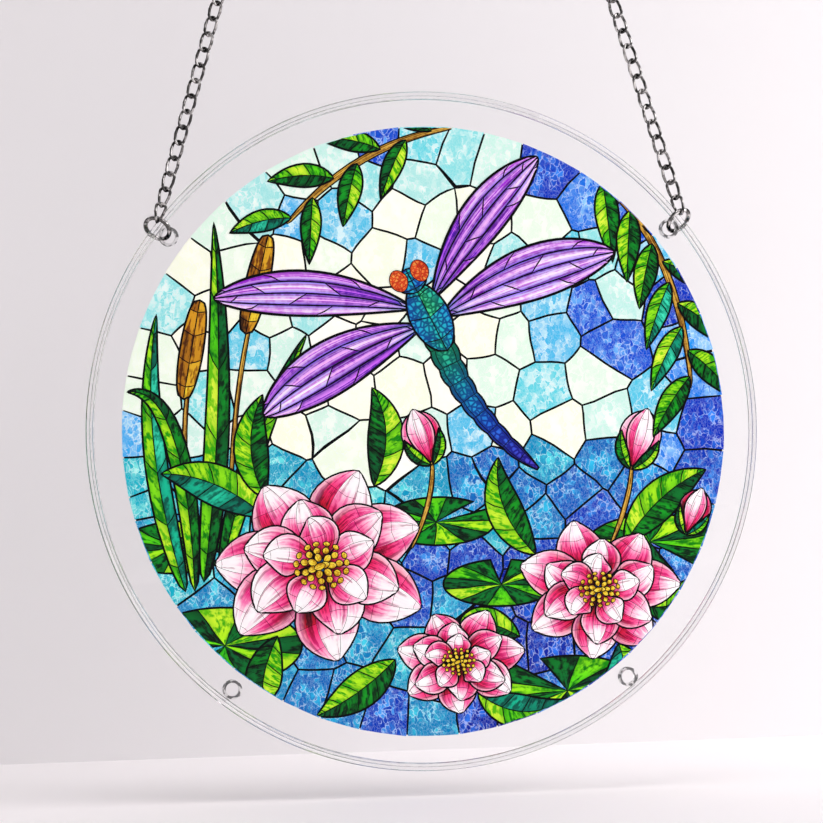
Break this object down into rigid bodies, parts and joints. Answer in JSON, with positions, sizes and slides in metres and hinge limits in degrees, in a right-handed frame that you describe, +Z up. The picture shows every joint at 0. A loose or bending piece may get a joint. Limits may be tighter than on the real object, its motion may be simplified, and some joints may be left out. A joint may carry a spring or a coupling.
{
  "type": "acrylic suncatcher",
  "caption": "Round clear acrylic panel with a printed leaded-glass picture, hung from jump rings and a chain that meets in one hanging ring.",
  "frame": {"origin": "the top of the hanging ring's inner edge, where a hook or nail carries it, on the mid-plane of the panel", "axes": "+Z up, +X to the right of someone facing the printed side, and the printed side faces -Y"},
  "size_m": [0.15, 0.0057, 0.3223],
  "materials": {
    "clear_acrylic": "clear cast acrylic, polished faces and rounded polished rim, with a bright translucent picture printed on its front face",
    "ring_steel": "bright plated steel wire",
    "chain_steel": "darker nickel-plated steel wire, polished"
  },
  "bodies": {
    "root": {"acrylic_panel": "clear_acrylic", "left_jump_ring": "ring_steel", "right_jump_ring": "ring_steel", "left_chain_link_01": "chain_steel", "left_chain_link_02": "chain_steel", "left_chain_link_03": "chain_steel", "left_chain_link_04": "chain_steel", "left_chain_link_05": "chain_steel", "left_chain_link_06": "chain_steel", "left_chain_link_07": "chain_steel", "left_chain_link_08": "chain_steel", "left_chain_link_09": "chain_steel", "left_chain_link_10": "chain_steel", "left_chain_link_11": "chain_steel", "left_chain_link_12": "chain_steel", "left_chain_link_13": "chain_steel", "left_chain_link_14": "chain_steel", "left_chain_link_15": "chain_steel", "left_chain_link_16": "chain_steel", "left_chain_link_17": "chain_steel", "left_chain_link_18": "chain_steel", "left_chain_link_19": "chain_steel", "left_chain_link_20": "chain_steel", "left_chain_link_21": "chain_steel", "left_chain_link_22": "chain_steel", "left_chain_link_23": "chain_steel", "left_chain_link_24": "chain_steel", "left_chain_link_25": "chain_steel", "left_chain_link_26": "chain_steel", "right_chain_link_01": "chain_steel", "right_chain_link_02": "chain_steel", "right_chain_link_03": "chain_steel", "right_chain_link_04": "chain_steel", "right_chain_link_05": "chain_steel", "right_chain_link_06": "chain_steel", "right_chain_link_07": "chain_steel", "right_chain_link_08": "chain_steel", "right_chain_link_09": "chain_steel", "right_chain_link_10": "chain_steel", "right_chain_link_11": "chain_steel", "right_chain_link_12": "chain_steel", "right_chain_link_13": "chain_steel", "right_chain_link_14": "chain_steel", "right_chain_link_15": "chain_steel", "right_chain_link_16": "chain_steel", "right_chain_link_17": "chain_steel", "right_chain_link_18": "chain_steel", "right_chain_link_19": "chain_steel", "right_chain_link_20": "chain_steel", "right_chain_link_21": "chain_steel", "right_chain_link_22": "chain_steel", "right_chain_link_23": "chain_steel", "right_chain_link_24": "chain_steel", "right_chain_link_25": "chain_steel", "right_chain_link_26": "chain_steel", "left_chain_upper_run": "chain_steel", "right_chain_upper_run": "chain_steel", "hanging_ring": "ring_steel"}
  },
  "joints": []
}
